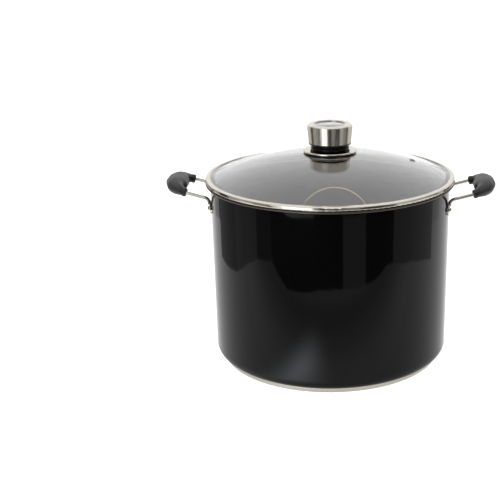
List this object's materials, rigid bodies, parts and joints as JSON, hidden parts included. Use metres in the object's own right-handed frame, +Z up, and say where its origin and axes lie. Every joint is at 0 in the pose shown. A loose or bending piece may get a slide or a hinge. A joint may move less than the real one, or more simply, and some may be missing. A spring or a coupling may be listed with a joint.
{
  "type": "pressure canner",
  "caption": "Tall enamelled canning pot with side grips, a steel-banded domed glass lid, a dial gauge in the knob and a lift-out wire jar rack.",
  "frame": {"origin": "centre of the underside of the base, on the surface it stands on", "axes": "+Z up along the pot's axis; +X towards the right-hand side handle; -Y towards the viewer's side"},
  "size_m": [0.4416, 0.334, 0.3206],
  "materials": {
    "black_enamel": "glossy enamel",
    "steel_trim": "polished stainless steel",
    "steel_wire": "bright plated wire",
    "steel_brushed": "fine turned brushing",
    "aluminium_core": "rolled",
    "soft_grip": "satin silicone",
    "lid_glass": "clear toughened glass",
    "window_glass": "clear",
    "black_plastic": "satin moulded phenolic",
    "silicone": "translucent silicone",
    "dial_white": "printed dial",
    "pointer_red": "painted",
    "bimetal": "rolled strip",
    "case_metal": "pressed"
  },
  "bodies": {
    "pot": {"pot_shell": "black_enamel", "rim_trim": "steel_trim", "base_cap": "steel_brushed", "base_core": "aluminium_core", "handle_wire_right": "steel_wire", "handle_wire_left": "steel_wire", "handle_grip_right": "soft_grip", "handle_grip_left": "soft_grip", "rivet_right_front": "steel_trim", "rivet_right_rear": "steel_trim", "rivet_left_front": "steel_trim", "rivet_left_rear": "steel_trim"},
    "lid": {"lid_glass": "lid_glass", "lid_band": "steel_trim", "vent_eyelet": "steel_trim", "knob_plate": "steel_trim", "plate_gasket": "silicone", "knob_base": "black_plastic", "knob_shell": "steel_brushed", "knob_stud": "steel_brushed", "gauge_case": "case_metal", "dial_plate": "dial_white", "gauge_lens": "window_glass", "bezel_ring": "steel_trim", "bimetal_spiral": "bimetal", "lower_gasket": "silicone", "clamp_washer": "steel_brushed", "lock_nut": "steel_brushed"},
    "pointer": {"pointer_spindle": "steel_brushed", "dial_pointer": "pointer_red"},
    "rack": {"rack_ring": "steel_wire", "rack_pivot_bars": "steel_wire", "rack_grid_wires": "steel_wire", "rack_feet": "steel_wire"},
    "rear_bail": {"rack_bail_rear": "steel_wire"},
    "front_bail": {"rack_bail_front": "steel_wire"}
  },
  "joints": [
    {"name": "lid_lift", "type": "slide", "parent": "pot", "child": "lid", "axis": [0, 0, 1], "range_m": [0, 0.45]},
    {"name": "pointer_turn", "type": "hinge", "parent": "lid", "child": "pointer", "pos_m": [0, 0, 0.3144], "axis": [0, 0, -1], "range_deg": [0, 270]},
    {"name": "rack_lift", "type": "slide", "parent": "pot", "child": "rack", "axis": [0, 0, 1], "range_m": [0, 0.28]},
    {"name": "rear_bail_fold", "type": "hinge", "parent": "rack", "child": "rear_bail", "pos_m": [0, 0.11, 0.022], "axis": [1, 0, 0], "range_deg": [0, 100.5]},
    {"name": "front_bail_fold", "type": "hinge", "parent": "rack", "child": "front_bail", "pos_m": [0, -0.11, 0.022], "axis": [-1, 0, 0], "range_deg": [0, 86.5]}
  ],
  "couplings": [
    {"joint": "rack_lift", "follows": "lid_lift", "ratio": 0.62}
  ]
}
